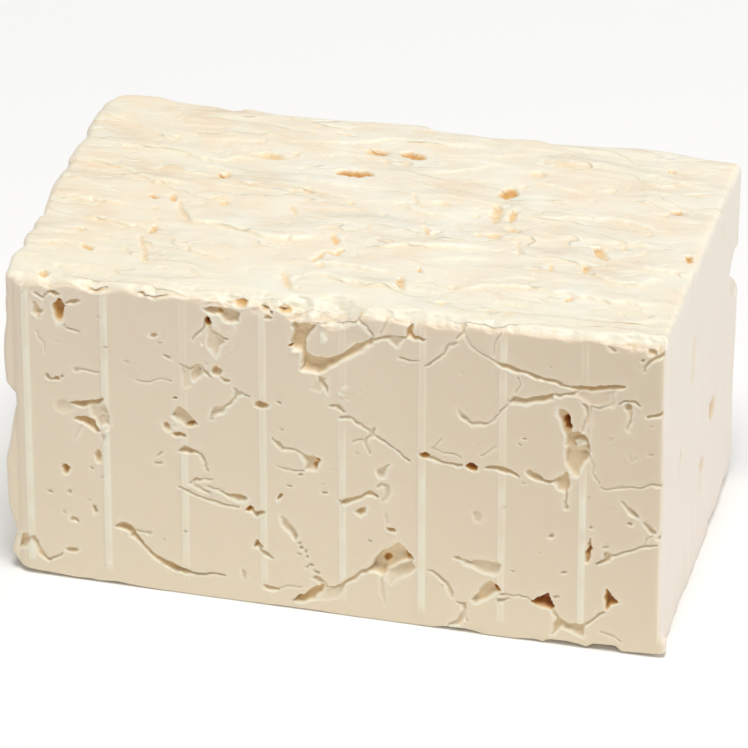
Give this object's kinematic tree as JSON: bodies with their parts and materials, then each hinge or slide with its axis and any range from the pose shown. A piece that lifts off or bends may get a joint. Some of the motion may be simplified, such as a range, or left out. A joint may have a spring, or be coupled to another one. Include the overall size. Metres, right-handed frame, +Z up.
{
  "type": "feta block",
  "caption": "Whole block of feta cheese with a ribbed, pitted and cracked front, a layered torn top and smooth cut ends.",
  "frame": {"origin": "middle of the underside, under the middle of the bounding box", "axes": "+X along the block towards its right end as seen from the ribbed front, +Y from the ribbed front to the back, +Z up"},
  "size_m": [0.1518, 0.0864, 0.0825],
  "materials": {
    "cheese": "moist satin, cream white, browner in the hollows"
  },
  "bodies": {
    "root": {"feta_block": "cheese"}
  },
  "joints": []
}
